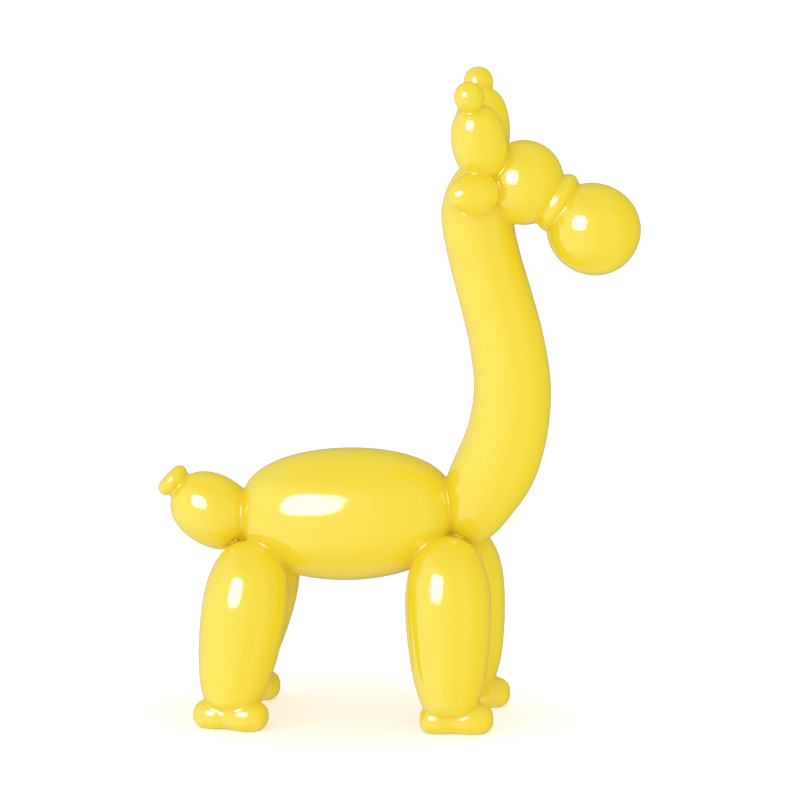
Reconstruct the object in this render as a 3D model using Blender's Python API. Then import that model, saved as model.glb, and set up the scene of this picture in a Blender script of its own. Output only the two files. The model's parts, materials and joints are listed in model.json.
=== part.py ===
"""Balloon giraffe statue, one glossy yellow casting.

The figure is a chain of blown bubbles that overlap wherever a balloon would be twisted.
Metres, +Z up, head towards +X, its own left side towards +Y, feet on Z = 0, and the
origin under the middle of its bounding box.
"""

import math

import bmesh
import bpy
from mathutils import Vector

NAME = "balloon_giraffe"

# Body: the level bubble, its axis height taken at the middle, where it sags a little
BODY_LENGTH = 0.1165
BODY_RADIUS = 0.0359
BODY_AXIS_HEIGHT = 0.1131
BODY_SAG = 0.0010
BODY_RISE = 0.0050
BODY_FULLNESS = 2.42

# Tail, from inside the body's back end, and the knot on its tip
TAIL_START = Vector((0.0056, 0.0, -0.0102))
TAIL_TIP = Vector((-0.0356, 0.0, 0.0136))
TAIL_RADIUS = 0.0194
TAIL_FULLNESS = 2.3
KNOT_LEAN = math.radians(43.0)
KNOT_STEM_OUT = Vector((0.0031, 0.0, 0.0004))
KNOT_STEM_HALF_LENGTH = 0.0056
KNOT_STEM_RADIUS = 0.0076
KNOT_LIP_OUT = Vector((-0.0018, 0.0, 0.0043))
KNOT_LIP_HALF_LENGTH = 0.0044
KNOT_LIP_RADIUS = 0.0096
KNOT_FULLNESS = 3.0

# Legs: hips sit below the body's ends, ankles end inside the feet
HIP_DROP = 0.0145
HIP_SPREAD = 0.0162
ANKLE_HEIGHT = 0.0088
FRONT_ANKLE_OUT = 0.0030
REAR_ANKLE_OUT = 0.0
FRONT_TRACK = 0.0660
REAR_TRACK = 0.0736
FRONT_LEG_RADIUS = 0.0231
REAR_LEG_RADIUS = 0.0230
HIP_FULLNESS = 2.15
ANKLE_FULLNESS = 3.0
LEG_TAPER = -0.095

# How far each leg bows outwards off the straight line, at shares of the way down, and how
# far round from square sideways the bow points
LEG_BOW = ((0.26, 0.0080), (0.62, 0.0028))
BOW_TURN = math.radians(6.5)

# Stance of each leg: hip, ankle and foot centre, forward of its end of the body as shares
# of the body's length, and the foot's turn in degrees
STANCE = {
    "front_right": (-0.029, 0.011, 0.033, 3.0),
    "front_left": (0.009, 0.037, 0.055, 0.0),
    "rear_right": (0.071, -0.017, -0.014, -13.0),
    "rear_left": (0.115, -0.083, -0.045, 0.0),
}

# Feet: a heel and a toe bubble, pressed flat where they stand
HEEL_HALF_LENGTH = 0.0107
TOE_HALF_LENGTH = 0.0122
FRONT_TOE_SPACING = 0.0168
REAR_TOE_SPACING = 0.0184
HEEL_HALF_HEIGHT = 0.0080
TOE_HALF_HEIGHT = 0.0085
TOE_LIFT = 0.0008
FOOT_WIDENING = 1.25
FOOT_FLAT = 0.0005
FOOT_FULLNESS = 2.6

# Neck: path points in the XZ plane, from its foot inside the body's front end up to the
# crown, as shares of its rise; the waist is the slim part below the head
NECK_RISE = 0.2090
NECK_START = Vector((0.0056, 0.0, -0.0179))
NECK_PATH = (
    (-0.012, 0.004), (0.0405, 0.128), (0.0855, 0.217), (0.113, 0.310), (0.1225, 0.416),
    (0.1065, 0.533), (0.0806, 0.637), (0.0532, 0.735), (0.0332, 0.829),
    (0.0310, 0.896), (0.0540, 1.0),
)
NECK_WAIST_RADIUS = 0.0191
NECK_WAIST_AT = 0.75
NECK_BASE_FLARE = 0.0050
NECK_FLARE_POWER = 1.5
NECK_DOME_SHARE = 0.20
NECK_BASE_DOME_SHARE = 0.235
NECK_FULLNESS = 2.45

# Head, snout ring and muzzle, from the crown
HEAD_CENTRE = Vector((0.0200, 0.0006, -0.0116))
HEAD_HALF_LENGTH = 0.0216
HEAD_RADIUS = 0.0228
RING_CENTRE = Vector((0.0383, 0.0016, -0.0221))
RING_HALF_LENGTH = 0.0066
RING_RADIUS = 0.0168
RING_FULLNESS = 2.8
RING_PITCH = math.radians(-30.0)
MUZZLE_CENTRE = Vector((0.0575, 0.0030, -0.0366))
MUZZLE_HALF_LENGTH = 0.0253
MUZZLE_RADIUS = 0.0246
SNOUT_PITCH = math.radians(-27.0)
ROUND_FULLNESS = 2.05

# Horns with a ball on each, and ears, from the crown, as built on the left side
HORN_BASE = Vector((0.0002, 0.0097, -0.0075))
HORN_TIP = Vector((-0.0050, 0.0218, 0.0322))
HORN_RADIUS = 0.0148
HORN_FULLNESS = 2.4
LEFT_HORN_EXTRA = 0.0040
LEFT_HORN_BACK = 0.0028
LEFT_BALL_LIFT = 0.0013
HORN_BALL_RADIUS = 0.0080
HORN_BALL_HALF_LENGTH = 0.0083
HORN_BALL_OUT = Vector((-0.0019, 0.0027, 0.0055))
EAR_BASE = Vector((0.0056, 0.0136, -0.0141))
EAR_TIP = Vector((-0.0167, 0.0314, -0.0157))
EAR_RADIUS = 0.0114
EAR_FULLNESS = 2.2
EAR_TAPER = -0.2

# Faces round and along each kind of bubble
BODY_GRID = (30, 18)
NECK_GRID = (24, 26)
LEG_GRID = (22, 14)
HEAD_GRID = (24, 14)
TAIL_GRID = (20, 12)
HORN_GRID = (16, 12)
EAR_GRID = (16, 10)
RING_GRID = (24, 8)
SMALL_GRID = (14, 8)

# Yellow lacquer over the casting
LACQUER_COLOUR = (0.86, 0.62, 0.035, 1.0)
LACQUER_ROUGHNESS = 0.12

SIDES = {"right": -1.0, "left": 1.0}


def mirrored(point, side):
    """Give a left-side point's place on the wanted side."""
    return Vector((point.x, point.y * SIDES[side], point.z))


def dome(share, fullness):
    """Give a blown end's radius share: 0 at its tip, 1 where it reaches full width."""
    return (1.0 - (1.0 - min(share, 1.0)) ** fullness) ** (1.0 / fullness)


def curve_point(points, share):
    """Give the point at a share of a smooth curve through the points."""
    spans = len(points) - 1
    place = min(max(share, 0.0), 1.0) * spans
    span = min(int(place), spans - 1)
    t = place - span
    p1, p2 = points[span], points[span + 1]
    p0 = points[span - 1] if span > 0 else p1 * 2.0 - p2
    p3 = points[span + 2] if span + 2 < len(points) else p2 * 2.0 - p1
    tangent_in = (p2 - p0) / 2.0
    tangent_out = (p3 - p1) / 2.0
    return (
        p1 * (2 * t ** 3 - 3 * t ** 2 + 1)
        + tangent_in * (t ** 3 - 2 * t ** 2 + t)
        + p2 * (3 * t ** 2 - 2 * t ** 3)
        + tangent_out * (t ** 3 - t ** 2)
    )


def tapered(radius, taper):
    """Give a radius along a bubble; a negative taper slims it towards its end."""
    def radius_at(share):
        return radius * (1.0 + taper * (2.0 * share - 1.0))
    return radius_at


def balloon(name, path, radius_at, grid, fullness, dome_shares=(0.5, 0.5), width_share=1.0):
    """Blow a closed bubble along a path: a round ball whose rings follow the path.

    The fullness is one number, or one for each end.
    """
    first_fullness, last_fullness = fullness if isinstance(fullness, tuple) else (fullness,) * 2
    mesh = bpy.data.meshes.new(name)
    shape = bmesh.new()
    bmesh.ops.create_uvsphere(shape, u_segments=grid[0], v_segments=grid[1], radius=1.0)
    step = 0.001
    for vertex in shape.verts:
        share = (1.0 - vertex.co.z) / 2.0
        ring = Vector((vertex.co.x, vertex.co.y))
        if ring.length > 0.0:
            ring.normalize()
        along = curve_point(path, share + step) - curve_point(path, share - step)
        along.normalize()
        side = Vector((0.0, 1.0, 0.0)) - along * along.y
        side.normalize()
        up = along.cross(side)
        from_first = max(share / dome_shares[0], 0.0)
        from_last = max((1.0 - share) / dome_shares[1], 0.0)
        rounding = first_fullness if from_first < from_last else last_fullness
        radius = radius_at(share) * dome(min(from_first, from_last), rounding)
        offset = side * ring.x * width_share + up * ring.y
        vertex.co = curve_point(path, share) + offset * radius
    bmesh.ops.recalc_face_normals(shape, faces=shape.faces)
    shape.to_mesh(mesh)
    shape.free()
    bubble = bpy.data.objects.new(name, mesh)
    bpy.context.collection.objects.link(bubble)
    return bubble


def bubble_between(name, start, end, radius, grid, fullness, taper=0.0):
    """Blow a straight bubble."""
    return balloon(name, (start, end), tapered(radius, taper), grid, fullness)


def bubble_about(name, centre, direction, half_length, radius, grid, fullness):
    """Blow a straight bubble about its centre."""
    reach = direction.normalized() * half_length
    return bubble_between(name, centre - reach, centre + reach, radius, grid, fullness)


def body_points():
    """Give the back, middle and front of the body's axis."""
    reach = Vector((BODY_LENGTH, 0.0, BODY_RISE)) / 2.0
    middle = Vector((0.0, 0.0, BODY_AXIS_HEIGHT))
    sag = Vector((0.0, 0.0, BODY_SAG))
    return middle - reach, middle - sag, middle + reach


def build_trunk():
    """Blow the body and the tail, and tie the knot on its tip."""
    back, middle, front = body_points()
    tip = back + TAIL_TIP
    outward = Vector((-math.cos(KNOT_LEAN), 0.0, math.sin(KNOT_LEAN)))
    return [
        balloon("body", (back, middle, front), tapered(BODY_RADIUS, 0.0), BODY_GRID,
                BODY_FULLNESS),
        bubble_between("tail", back + TAIL_START, tip, TAIL_RADIUS, TAIL_GRID, TAIL_FULLNESS),
        bubble_about("knot_stem", tip + KNOT_STEM_OUT, outward, KNOT_STEM_HALF_LENGTH,
                     KNOT_STEM_RADIUS, SMALL_GRID, KNOT_FULLNESS),
        bubble_about("knot_lip", tip + KNOT_LIP_OUT, outward, KNOT_LIP_HALF_LENGTH,
                     KNOT_LIP_RADIUS, SMALL_GRID, KNOT_FULLNESS),
    ]


def build_foot(leg, centre, turn, spacing):
    """Blow the heel and the toe, one behind the other."""
    forward = Vector((math.cos(turn), math.sin(turn), 0.0))
    bubbles = []
    for part, half_length, half_height, way, lift in (
        ("heel", HEEL_HALF_LENGTH, HEEL_HALF_HEIGHT, -1.0, 0.0),
        ("toe", TOE_HALF_LENGTH, TOE_HALF_HEIGHT, 1.0, TOE_LIFT),
    ):
        middle = centre + forward * spacing / 2.0 * way
        middle.z = half_height - FOOT_FLAT - lift / 2.0
        reach = forward * half_length
        raised = Vector((0.0, 0.0, lift))
        bubbles.append(balloon(
            f"{leg}_{part}", (middle - reach, middle + reach + raised),
            tapered(half_height, 0.0), SMALL_GRID, FOOT_FULLNESS, width_share=FOOT_WIDENING,
        ))
    return bubbles


def build_legs():
    """Blow four bowed legs from under the body's ends down into their feet."""
    back, _, front = body_points()
    bubbles = []
    for leg, (hip_share, ankle_share, foot_share, turn) in STANCE.items():
        end, side = leg.split("_")
        root = front if end == "front" else back
        track = FRONT_TRACK if end == "front" else REAR_TRACK
        radius = FRONT_LEG_RADIUS if end == "front" else REAR_LEG_RADIUS
        spacing = FRONT_TOE_SPACING if end == "front" else REAR_TOE_SPACING
        hip_x, ankle_x, foot_x = (
            root.x + share * BODY_LENGTH for share in (hip_share, ankle_share, foot_share)
        )
        ankle_out = FRONT_ANKLE_OUT if end == "front" else REAR_ANKLE_OUT
        way_out = Vector((-math.sin(BOW_TURN), math.cos(BOW_TURN), 0.0)) * SIDES[side]
        hip = Vector((hip_x, SIDES[side] * HIP_SPREAD / 2.0, root.z - HIP_DROP))
        sole = Vector((foot_x, SIDES[side] * track / 2.0, 0.0))
        ankle = Vector((ankle_x, sole.y, ANKLE_HEIGHT)) + way_out * ankle_out
        bowed = [hip.lerp(ankle, share) + way_out * bow for share, bow in LEG_BOW]
        bubbles.append(balloon(
            f"{leg}_leg", (hip, *bowed, ankle), tapered(radius, LEG_TAPER), LEG_GRID,
            (HIP_FULLNESS, ANKLE_FULLNESS),
        ))
        bubbles.extend(build_foot(leg, sole, math.radians(turn), spacing))
    return bubbles


def neck_points():
    """Give the neck's path, from inside the body up to the crown."""
    foot = body_points()[-1] + NECK_START
    return [foot + Vector((x, 0.0, z)) * NECK_RISE for x, z in NECK_PATH]


def build_neck():
    """Blow the long S-shaped neck, slim at its waist and full at its base."""
    def radius_at(share):
        from_waist = abs(share - NECK_WAIST_AT) / NECK_WAIST_AT
        return NECK_WAIST_RADIUS + NECK_BASE_FLARE * from_waist ** NECK_FLARE_POWER
    domes = (NECK_BASE_DOME_SHARE, NECK_DOME_SHARE)
    return [balloon("neck", neck_points(), radius_at, NECK_GRID, NECK_FULLNESS, domes)]


def build_head():
    """Blow the head, the thin ring before it and the big round muzzle."""
    crown = neck_points()[-1]
    snout = Vector((math.cos(SNOUT_PITCH), 0.0, math.sin(SNOUT_PITCH)))
    ring_way = Vector((math.cos(RING_PITCH), 0.0, math.sin(RING_PITCH)))
    level = Vector((1.0, 0.0, 0.0))
    return [
        bubble_about("head", crown + HEAD_CENTRE, level, HEAD_HALF_LENGTH, HEAD_RADIUS,
                     HEAD_GRID, ROUND_FULLNESS),
        bubble_about("snout_ring", crown + RING_CENTRE, ring_way, RING_HALF_LENGTH, RING_RADIUS,
                     RING_GRID, RING_FULLNESS),
        bubble_about("muzzle", crown + MUZZLE_CENTRE, snout, MUZZLE_HALF_LENGTH, MUZZLE_RADIUS,
                     HEAD_GRID, ROUND_FULLNESS),
    ]


def build_horns_and_ears():
    """Blow an ear and a horn with its ball on each side of the crown."""
    crown = neck_points()[-1]
    bubbles = []
    for side in SIDES:
        horn_base = crown + mirrored(HORN_BASE, side)
        horn_tip = crown + mirrored(HORN_TIP, side)
        ball_out = mirrored(HORN_BALL_OUT, side)
        ball_centre = horn_tip + ball_out
        if side == "left":
            horn_base.x -= LEFT_HORN_BACK
            horn_tip.z += LEFT_HORN_EXTRA
            ball_centre.z += LEFT_BALL_LIFT
        bubbles.append(bubble_between(
            f"{side}_horn", horn_base, horn_tip, HORN_RADIUS, HORN_GRID, HORN_FULLNESS,
        ))
        bubbles.append(bubble_about(
            f"{side}_horn_ball", ball_centre, ball_out, HORN_BALL_HALF_LENGTH, HORN_BALL_RADIUS,
            SMALL_GRID, ROUND_FULLNESS,
        ))
        bubbles.append(bubble_between(
            f"{side}_ear", crown + mirrored(EAR_BASE, side), crown + mirrored(EAR_TIP, side),
            EAR_RADIUS, EAR_GRID, EAR_FULLNESS, EAR_TAPER,
        ))
    return bubbles


def fuse(bubbles):
    """Join the bubbles into one solid, as they were cast."""
    figure = bubbles[0]
    others = bpy.data.collections.new("bubbles")
    for bubble in bubbles[1:]:
        others.objects.link(bubble)
    union = figure.modifiers.new("fuse", "BOOLEAN")
    union.operation = "UNION"
    union.operand_type = "COLLECTION"
    union.collection = others
    union.solver = "EXACT"
    union.use_self = True
    bpy.context.view_layer.objects.active = figure
    bpy.ops.object.modifier_apply(modifier=union.name)
    for bubble in bubbles[1:]:
        bpy.data.objects.remove(bubble)
    bpy.data.collections.remove(others)
    return figure


def flatten_soles(figure):
    """Cut the feet flat where they stand."""
    shape = bmesh.new()
    shape.from_mesh(figure.data)
    geometry = list(shape.verts) + list(shape.edges) + list(shape.faces)
    cut = bmesh.ops.bisect_plane(
        shape, geom=geometry, plane_co=(0.0, 0.0, 0.0), plane_no=(0.0, 0.0, 1.0), clear_inner=True,
    )
    rims = [item for item in cut["geom_cut"] if isinstance(item, bmesh.types.BMEdge)]
    bmesh.ops.edgeloop_fill(shape, edges=rims)
    bmesh.ops.triangulate(shape, faces=shape.faces)
    bmesh.ops.recalc_face_normals(shape, faces=shape.faces)
    shape.to_mesh(figure.data)
    shape.free()


def centre_on_floor(figure):
    """Bring the middle of the bounding box over the origin, keeping the feet at Z = 0."""
    xs = [vertex.co.x for vertex in figure.data.vertices]
    ys = [vertex.co.y for vertex in figure.data.vertices]
    middle = Vector(((min(xs) + max(xs)) / 2.0, (min(ys) + max(ys)) / 2.0, 0.0))
    for vertex in figure.data.vertices:
        vertex.co -= middle


def lacquer():
    """Make the glossy yellow coat."""
    material = bpy.data.materials.new("yellow_lacquer")
    material.use_nodes = True
    shader = material.node_tree.nodes["Principled BSDF"]
    shader.inputs["Base Color"].default_value = LACQUER_COLOUR
    shader.inputs["Roughness"].default_value = LACQUER_ROUGHNESS
    shader.inputs["Metallic"].default_value = 0.0
    return material


def main():
    """Clear the scene and build the statue."""
    for item in list(bpy.data.objects):
        bpy.data.objects.remove(item)
    bubbles = build_trunk() + build_legs() + build_neck() + build_head() + build_horns_and_ears()
    figure = fuse(bubbles)
    flatten_soles(figure)
    centre_on_floor(figure)
    figure.name = NAME
    figure.data.name = NAME
    figure.data.materials.clear()
    figure.data.materials.append(lacquer())
    for face in figure.data.polygons:
        face.use_smooth = True


main()
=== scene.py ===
"""The balloon giraffe's looks: one smooth lacquered casting, on a pale floor in soft light."""

import json
import math

import bpy
import numpy as np
from bpy.props import FloatProperty, FloatVectorProperty, IntProperty, PointerProperty, StringProperty
from bpy.types import Operator, Panel, PropertyGroup
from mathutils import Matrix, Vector

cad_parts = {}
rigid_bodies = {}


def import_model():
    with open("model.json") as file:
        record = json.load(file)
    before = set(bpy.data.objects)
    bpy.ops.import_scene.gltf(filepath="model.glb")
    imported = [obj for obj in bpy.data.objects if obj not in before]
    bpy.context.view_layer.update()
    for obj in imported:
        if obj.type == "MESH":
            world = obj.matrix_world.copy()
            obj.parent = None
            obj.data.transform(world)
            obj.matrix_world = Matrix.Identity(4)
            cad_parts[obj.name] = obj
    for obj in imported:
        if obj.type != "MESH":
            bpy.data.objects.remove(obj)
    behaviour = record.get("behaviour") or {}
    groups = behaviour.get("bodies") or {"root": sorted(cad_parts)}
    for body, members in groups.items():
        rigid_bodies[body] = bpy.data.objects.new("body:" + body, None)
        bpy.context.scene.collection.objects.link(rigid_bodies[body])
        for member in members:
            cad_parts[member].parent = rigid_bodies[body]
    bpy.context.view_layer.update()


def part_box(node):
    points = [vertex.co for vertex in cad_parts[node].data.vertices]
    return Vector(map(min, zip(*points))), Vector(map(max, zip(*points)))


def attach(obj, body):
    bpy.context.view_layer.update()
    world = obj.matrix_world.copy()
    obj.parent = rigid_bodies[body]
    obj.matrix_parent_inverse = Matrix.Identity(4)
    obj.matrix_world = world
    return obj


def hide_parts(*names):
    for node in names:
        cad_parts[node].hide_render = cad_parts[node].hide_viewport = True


bl_info = {
    "name": "Balloon Giraffe Statue",
    "version": (1, 0, 0),
    "blender": (4, 5, 0),
    "location": "View3D > Sidebar > Giraffe",
    "description": "Builds a glossy cast statue of a giraffe twisted from balloons",
    "category": "Object",
}

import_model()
CASTING_NODE = "balloon_giraffe"
BUBBLES = "bubbles"
SIDES = {"right": -1.0, "left": 1.0}

# Rings and segments of each bubble before the bubbles are fused
BUBBLE_SEGMENTS = 48
BUBBLE_RINGS = 40
# A point further into a crease than this share is on faces that are cut finer
FINE_CREASE = 0.02
# The longest step in metres that a point takes in one settling round
LONGEST_STEP = 0.002
# The field's slope is never taken as less than this, so that no step runs away
LEAST_SLOPE = 0.2
LEAST_MELTED_SLOPE = 0.3


def length(name, description, default):
    """Describe a size in metres."""
    return FloatProperty(name=name, description=description, default=default, unit="LENGTH",
                         subtype="DISTANCE", precision=5)


def place(name, description, default):
    """Describe an offset in metres."""
    return FloatVectorProperty(name=name, description=description, default=default, size=3,
                               unit="LENGTH", subtype="TRANSLATION", precision=5)


def ratio(name, description, default):
    """Describe a plain number."""
    return FloatProperty(name=name, description=description, default=default, precision=4)


def turn(name, description, degrees):
    """Describe an angle."""
    return FloatProperty(name=name, description=description, default=math.radians(degrees),
                         unit="ROTATION", subtype="ANGLE")


def paint(name, description, default):
    """Describe a colour as an sRGB hex value."""
    return StringProperty(name=name, description=description, default=default)


class TrunkSizes(PropertyGroup):
    """The level body, the tail behind it and the knot on the tail."""

    body_length: length("Body length", "End to end along the body", 0.1165)
    body_radius: length("Body radius", "Half the body's thickness", 0.0359)
    body_height: length("Body height", "Middle of the body above the floor", 0.1131)
    body_sag: length("Body sag", "How much lower its middle hangs", 0.0010)
    body_rise: length("Body rise", "How much higher the front end is", 0.0050)
    body_fullness: ratio("Body fullness", "2 is an ellipse, higher is more like a sausage", 2.83)
    tail_start: place("Tail start", "From the body's back end", (0.0056, 0.0, -0.0102))
    tail_tip: place("Tail tip", "From the body's back end", (-0.0356, 0.0, 0.0136))
    tail_radius: length("Tail radius", "Half the tail's thickness", 0.0194)
    tail_fullness: ratio("Tail fullness", "2 is an ellipse", 2.50)
    knot_lean: turn("Knot lean", "Above the level, pointing back", 43.0)
    knot_stem_out: place("Knot stem", "From the tail's tip", (0.0031, 0.0, 0.0004))
    knot_stem_half_length: length("Knot stem half length", "Along the knot", 0.0056)
    knot_stem_radius: length("Knot stem radius", "Half its thickness", 0.0076)
    knot_lip_out: place("Knot lip", "From the tail's tip", (-0.0018, 0.0, 0.0043))
    knot_lip_half_length: length("Knot lip half length", "Half the rolled lip's width", 0.0044)
    knot_lip_radius: length("Knot lip radius", "Out to the lip's rim", 0.0096)
    knot_fullness: ratio("Knot fullness", "Higher is boxier", 4.27)


class LegSizes(PropertyGroup):
    """Four legs, each on a heel and a toe bubble."""

    hip_drop: length("Hip drop", "Below the body's ends", 0.0145)
    hip_spread: length("Hip spread", "Between a pair's tops", 0.0162)
    ankle_height: length("Ankle height", "Above the floor", 0.0088)
    front_ankle_out: length("Front ankle out", "Outwards from the foot's middle", 0.0030)
    rear_ankle_out: length("Rear ankle out", "Outwards from the foot's middle", 0.0)
    bow_turn: turn("Bow turn", "How far the legs' bow points off sideways", 6.5)
    front_track: length("Front track", "Between the front feet", 0.0660)
    rear_track: length("Rear track", "Between the rear feet", 0.0736)
    front_radius: length("Front leg radius", "Half its thickness", 0.0231)
    rear_radius: length("Rear leg radius", "Half its thickness", 0.0230)
    hip_fullness: ratio("Hip fullness", "Roundness of the leg's upper end", 2.28)
    ankle_fullness: ratio("Ankle fullness", "Higher is blunter", 4.27)
    taper: ratio("Leg taper", "Share lost towards the ankle", -0.095)
    heel_half_length: length("Heel half length", "Along the foot", 0.0107)
    toe_half_length: length("Toe half length", "Along the foot", 0.0122)
    front_toe_spacing: length("Front heel to toe", "Between their middles", 0.0168)
    rear_toe_spacing: length("Rear heel to toe", "Between their middles", 0.0184)
    heel_half_height: length("Heel half height", "Up the foot", 0.0086)
    toe_half_height: length("Toe half height", "Up the foot", 0.0091)
    toe_lift: length("Toe lift", "How much higher the toe's end is", 0.0008)
    foot_widening: ratio("Foot widening", "Width over height", 1.16)
    foot_flat: length("Foot flat", "Pressed away where it stands", 0.0017)
    foot_melt: length("Foot melt", "How softly heel and toe run together", 0.0042)
    foot_fullness: ratio("Foot fullness", "Higher is boxier", 3.0)


class NeckSizes(PropertyGroup):
    """The long S-shaped neck."""

    rise: length("Neck rise", "Foot of the neck to its top", 0.2090)
    start: place("Neck start", "From the body's front end", (0.0056, 0.0, -0.0179))
    waist_radius: length("Waist radius", "Where the neck is slimmest", 0.0191)
    waist_at: ratio("Waist place", "Share of the way up", 0.75)
    base_flare: length("Base flare", "How much thicker the base is", 0.0050)
    flare_power: ratio("Flare power", "How suddenly it thickens", 1.5)
    base_dome_share: ratio("Base dome", "Share of the length in the rounded base", 0.235)
    dome_share: ratio("Crown dome", "Share of the length in the rounded top", 0.20)
    fullness: ratio("Neck fullness", "Roundness of its ends", 2.45)


class HeadSizes(PropertyGroup):
    """Head, snout ring, muzzle, horns and ears, placed from the crown."""

    head_centre: place("Head", "From the crown", (0.0200, 0.0006, -0.0116))
    head_half_length: length("Head half length", "Along the head", 0.0216)
    head_radius: length("Head radius", "Half its thickness", 0.0228)
    ring_centre: place("Snout ring", "From the crown", (0.0383, 0.0016, -0.0221))
    ring_half_length: length("Ring half length", "Half the ring's width", 0.0066)
    ring_radius: length("Ring radius", "Out to its rim", 0.0168)
    ring_pitch: turn("Ring pitch", "Below the level, pointing forward", -30.0)
    ring_fullness: ratio("Ring fullness", "Higher is boxier", 3.7)
    muzzle_centre: place("Muzzle", "From the crown", (0.0575, 0.0030, -0.0366))
    muzzle_half_length: length("Muzzle half length", "Along the snout", 0.0253)
    muzzle_radius: length("Muzzle radius", "Half its thickness", 0.0246)
    snout_pitch: turn("Snout pitch", "Below the level, pointing forward", -27.0)
    round_fullness: ratio("Ball fullness", "2 is a ball", 2.09)
    horn_base: place("Horn base", "From the crown, left side", (0.0002, 0.0097, -0.0075))
    horn_tip: place("Horn tip", "From the crown, left side", (-0.0050, 0.0218, 0.0322))
    horn_radius: length("Horn radius", "Half its thickness", 0.0148)
    horn_fullness: ratio("Horn fullness", "2 is an ellipse", 2.79)
    left_horn_extra: length("Left horn extra", "How much longer the left one is", 0.0040)
    left_horn_back: length("Left horn back", "How much further back its base is", 0.0028)
    left_ball_lift: length("Left ball lift", "How much higher the left ball sits", 0.0013)
    ball_radius: length("Horn ball radius", "Half its thickness", 0.0080)
    ball_half_length: length("Horn ball half length", "Along the horn", 0.0083)
    ball_out: place("Horn ball", "From the horn's tip, left side", (-0.0019, 0.0027, 0.0055))
    ear_base: place("Ear base", "From the crown, left side", (0.0056, 0.0136, -0.0141))
    ear_tip: place("Ear tip", "From the crown, left side", (-0.0167, 0.0314, -0.0157))
    ear_radius: length("Ear radius", "Half its thickness", 0.0114)
    ear_fullness: ratio("Ear fullness", "2 is an ellipse", 2.37)
    ear_taper: ratio("Ear taper", "Share lost towards the tip", -0.2)


class CastingLook(PropertyGroup):
    """How finely the casting is made, its creases and its lacquer."""

    skin_voxel: length("Skin voxel", "Grid that the bubbles are fused on", 0.00150)
    crease_blend: length("Crease blend", "How softly two bubbles meet", 0.0018)
    settle_rounds: IntProperty(name="Settling rounds", description="Passes over the skin", default=5)
    yellow: paint("Lacquer yellow", "The coat's own colour", "#EBD42C")
    # Painted shade: this amber darkens the creases, which are also taken as where the coat lies thick,
    # and it tints random blotches
    shade_and_blotch_amber: paint("Pooled amber", "Where the coat lies thick in the creases", "#E6BC1C")
    roughness: ratio("Coat roughness", "Under the clear lacquer", 0.40)
    clear_roughness: ratio("Clear roughness", "Of the clear lacquer", 0.10)


class StageLook(PropertyGroup):
    """Camera, floor and lights."""

    camera_distance: length("Camera distance", "To what it looks at", 3.992)
    camera_yaw: turn("Camera yaw", "Round towards the head", 6.5)
    camera_pitch: turn("Camera pitch", "Above the level", 10.5)
    camera_target: place("Camera target", "What the camera looks at", (0.00125, 0.0, 0.1753))
    frame_width: length("Frame width", "What the picture takes in at the target", 0.4316)
    floor_size: length("Floor size", "Edge of the square floor", 24.0)
    floor_colour: paint("Floor colour", "Pale studio floor", "#E0E0E0")
    floor_glow: ratio("Floor glow", "Light of the floor's own, which keeps it white", 0.36)
    room_light: ratio("Room light", "Even light from the white room", 1.02)
    room_lean: ratio("Room lean", "How much brighter the room is on the left", 0.04)
    room_front: ratio("Room front", "How much brighter the room is at the front", 0.20)
    softbox_round: turn("Softbox round", "Left of the camera", 34.0)
    softbox_up: turn("Softbox up", "Above the level", 23.5)
    softbox_distance: length("Softbox distance", "From the statue's middle", 1.9)
    softbox_width: length("Softbox width", "Edge to edge", 1.18)
    softbox_height: length("Softbox height", "Edge to edge", 1.20)
    softbox_shine: ratio("Softbox shine", "Its brightness in the lacquer", 19.0)


class FigureSettings(PropertyGroup):
    """All sizes and colours of the statue."""

    trunk: PointerProperty(type=TrunkSizes)
    legs: PointerProperty(type=LegSizes)
    neck: PointerProperty(type=NeckSizes)
    head: PointerProperty(type=HeadSizes)
    casting: PointerProperty(type=CastingLook)
    stage: PointerProperty(type=StageLook)


# Stance of each leg: hip, ankle and foot centre, forward of its end of the body as shares
# of the body's length, and the foot's turn in degrees
STANCE = {
    "front_right": (-0.029, 0.011, 0.033, 3.0),
    "front_left": (0.009, 0.037, 0.055, 0.0),
    "rear_right": (0.071, -0.017, -0.014, -13.0),
    "rear_left": (0.115, -0.083, -0.045, 0.0),
}

# How far each leg bows outwards off the straight line, at shares of the way down
LEG_BOW = ((0.26, 0.0080), (0.62, 0.0028))

# Neck path in the XZ plane, as shares of its rise, from inside the body up to the crown
NECK_PATH = (
    (-0.012, 0.004), (0.0405, 0.128), (0.0855, 0.217), (0.113, 0.310), (0.1225, 0.416),
    (0.1065, 0.533), (0.0806, 0.637), (0.0532, 0.735), (0.0332, 0.829),
    (0.0310, 0.896), (0.0540, 1.0),
)


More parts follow.
